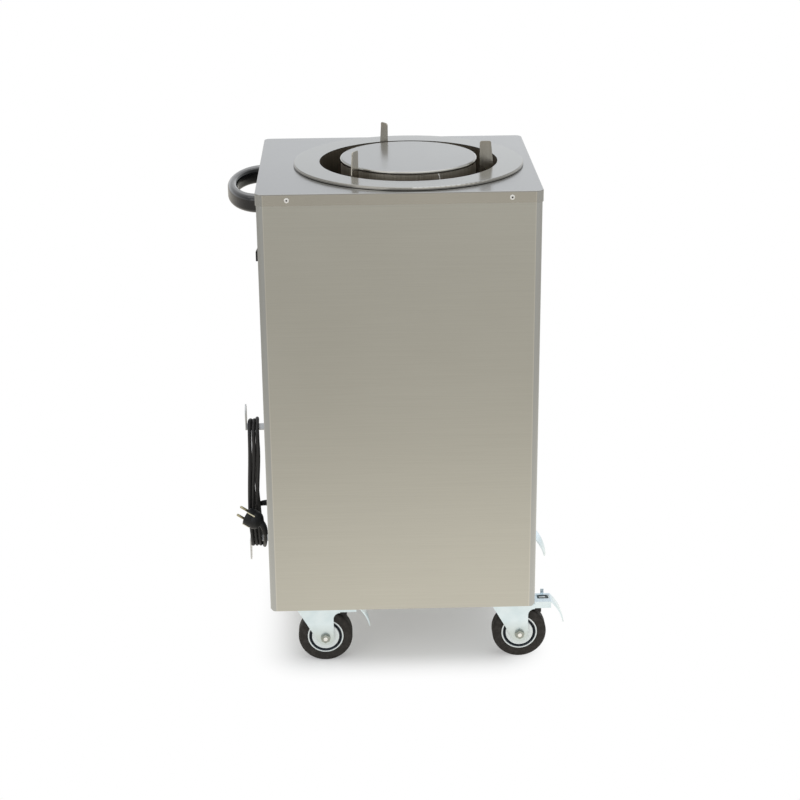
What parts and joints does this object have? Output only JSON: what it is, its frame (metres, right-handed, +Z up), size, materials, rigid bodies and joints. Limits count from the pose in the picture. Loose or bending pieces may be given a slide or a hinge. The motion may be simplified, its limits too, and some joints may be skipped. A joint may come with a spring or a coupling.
{
  "type": "plate warmer cabinet",
  "caption": "Free-standing heated plate dispenser: a steel cabinet on braked casters with a sprung round platform, turning plate guides, a push handle and a wound mains cord.",
  "frame": {"origin": "on the floor, under the middle of the cabinet", "axes": "+Z up, +Y to the rear panel, -X to the push handle, the controls and the cord"},
  "size_m": [0.6084, 0.4356, 0.947],
  "materials": {
    "body_steel": "brushed",
    "cover_steel": "brushed",
    "ring_steel": "brushed",
    "well_steel": "brushed",
    "guide_steel": "brushed",
    "zinc_steel": "zinc plated",
    "rim_steel": "zinc plated",
    "fastener_steel": "plain",
    "handle_plastic": "moulded",
    "control_plastic": "moulded",
    "plug_rubber": "moulded",
    "cord_rubber": "satin",
    "tyre_rubber": "matt",
    "lamp_lens": "gloss",
    "terminal_plastic": "moulded",
    "heater_steel": "heat tinted",
    "pin_brass": "plain",
    "spring_steel": "plain"
  },
  "bodies": {
    "cabinet": {"body_shell": "body_steel", "rear_panel": "body_steel", "top_cover": "cover_steel", "base_pan": "body_steel", "cover_rivets": "fastener_steel", "panel_screws": "fastener_steel", "ring_flange": "ring_steel", "dispenser_tube": "well_steel", "tube_stays": "fastener_steel", "heat_shield": "well_steel", "heater_element": "heater_steel", "limit_thermostat": "terminal_plastic", "lift_springs": "spring_steel", "spring_hangers": "zinc_steel", "guide_brackets": "well_steel", "handle_bow": "handle_plastic", "handle_bolts": "fastener_steel", "control_plate": "cover_steel", "thermostat_body": "terminal_plastic", "switch_housing": "control_plastic", "pilot_lamp": "lamp_lens", "cord_hooks": "zinc_steel", "hook_screws": "fastener_steel", "cable_gland": "control_plastic", "terminal_block": "terminal_plastic", "mains_cord": "cord_rubber", "cord_hank": "cord_rubber", "plug_body": "plug_rubber", "plug_pins": "pin_brass", "caster_plates": "zinc_steel", "caster_bolts": "fastener_steel", "kingpins": "fastener_steel"},
    "platform": {"platform_disc": "cover_steel", "platform_skirt": "well_steel", "lift_carriage": "zinc_steel"},
    "rear_guide": {"guide_rear": "guide_steel"},
    "left_guide": {"guide_left": "guide_steel"},
    "right_guide": {"guide_right": "guide_steel"},
    "knob": {"thermostat_knob": "control_plastic"},
    "rocker": {"power_rocker": "control_plastic"},
    "swivel_front_left": {"fork_front_left": "zinc_steel", "axle_front_left": "zinc_steel"},
    "wheel_front_left": {"rim_front_left": "rim_steel", "tyre_front_left": "tyre_rubber"},
    "brake_front_left": {"pedal_front_left": "zinc_steel"},
    "swivel_front_right": {"fork_front_right": "zinc_steel", "axle_front_right": "zinc_steel"},
    "wheel_front_right": {"rim_front_right": "rim_steel", "tyre_front_right": "tyre_rubber"},
    "brake_front_right": {"pedal_front_right": "zinc_steel"},
    "swivel_rear_right": {"fork_rear_right": "zinc_steel", "axle_rear_right": "zinc_steel"},
    "wheel_rear_right": {"rim_rear_right": "rim_steel", "tyre_rear_right": "tyre_rubber"},
    "brake_rear_right": {"pedal_rear_right": "zinc_steel"},
    "swivel_rear_left": {"fork_rear_left": "zinc_steel", "axle_rear_left": "zinc_steel"},
    "wheel_rear_left": {"rim_rear_left": "rim_steel", "tyre_rear_left": "tyre_rubber"},
    "brake_rear_left": {"pedal_rear_left": "zinc_steel"}
  },
  "joints": [
    {"name": "platform_lift", "type": "slide", "parent": "cabinet", "child": "platform", "axis": [0, 0, 1], "range_m": [-0.4, 0], "stiffness_N_per_m": 600, "springref_m": 0.1, "deforming": ["lift_springs"]},
    {"name": "guide_turn_rear", "type": "hinge", "parent": "cabinet", "child": "rear_guide", "pos_m": [-0.0229, 0.14155, 0.6], "axis": [0, 0, 1], "range_deg": [-14, 65]},
    {"name": "guide_turn_left", "type": "hinge", "parent": "cabinet", "child": "left_guide", "pos_m": [-0.07813, -0.10966, 0.6], "axis": [0, 0, 1], "range_deg": [-14, 65]},
    {"name": "guide_turn_right", "type": "hinge", "parent": "cabinet", "child": "right_guide", "pos_m": [0.16704, -0.03189, 0.6], "axis": [0, 0, 1], "range_deg": [-14, 65]},
    {"name": "thermostat_turn", "type": "hinge", "parent": "cabinet", "child": "knob", "pos_m": [-0.2425, -0.1, 0.767], "axis": [1, 0, 0], "range_deg": [0, 270]},
    {"name": "power_rock", "type": "hinge", "parent": "cabinet", "child": "rocker", "pos_m": [-0.242, -0.035, 0.767], "axis": [0, -1, 0], "range_deg": [0, 16]},
    {"name": "swivel_turn_front_left", "type": "hinge", "parent": "cabinet", "child": "swivel_front_left", "pos_m": [-0.18, -0.157, 0.12], "axis": [0, 0, 1], "continuous": true},
    {"name": "wheel_turn_front_left", "type": "hinge", "parent": "swivel_front_left", "child": "wheel_front_left", "pos_m": [-0.143, -0.157, 0.05], "axis": [0, 1, 0], "continuous": true},
    {"name": "brake_press_front_left", "type": "hinge", "parent": "swivel_front_left", "child": "brake_front_left", "pos_m": [-0.122, -0.157, 0.1055], "axis": [0, 1, 0], "range_deg": [0, 12]},
    {"name": "swivel_turn_front_right", "type": "hinge", "parent": "cabinet", "child": "swivel_front_right", "pos_m": [0.18, -0.157, 0.12], "axis": [0, 0, 1], "continuous": true},
    {"name": "wheel_turn_front_right", "type": "hinge", "parent": "swivel_front_right", "child": "wheel_front_right", "pos_m": [0.217, -0.157, 0.05], "axis": [0, 1, 0], "continuous": true},
    {"name": "brake_press_front_right", "type": "hinge", "parent": "swivel_front_right", "child": "brake_front_right", "pos_m": [0.238, -0.157, 0.1055], "axis": [0, 1, 0], "range_deg": [0, 12]},
    {"name": "swivel_turn_rear_right", "type": "hinge", "parent": "cabinet", "child": "swivel_rear_right", "pos_m": [0.18, 0.157, 0.12], "axis": [0, 0, 1], "continuous": true},
    {"name": "wheel_turn_rear_right", "type": "hinge", "parent": "swivel_rear_right", "child": "wheel_rear_right", "pos_m": [0.21574, 0.14742, 0.05], "axis": [0.2588, 0.9659, 0], "continuous": true},
    {"name": "brake_press_rear_right", "type": "hinge", "parent": "swivel_rear_right", "child": "brake_rear_right", "pos_m": [0.23602, 0.14199, 0.1055], "axis": [0.2588, 0.9659, 0], "range_deg": [0, 12]},
    {"name": "swivel_turn_rear_left", "type": "hinge", "parent": "cabinet", "child": "swivel_rear_left", "pos_m": [-0.18, 0.157, 0.12], "axis": [0, 0, 1], "continuous": true},
    {"name": "wheel_turn_rear_left", "type": "hinge", "parent": "swivel_rear_left", "child": "wheel_rear_left", "pos_m": [-0.14647, 0.17264, 0.05], "axis": [-0.4226, 0.9063, 0], "continuous": true},
    {"name": "brake_press_rear_left", "type": "hinge", "parent": "swivel_rear_left", "child": "brake_rear_left", "pos_m": [-0.12743, 0.18151, 0.1055], "axis": [-0.4226, 0.9063, 0], "range_deg": [0, 12]}
  ]
}
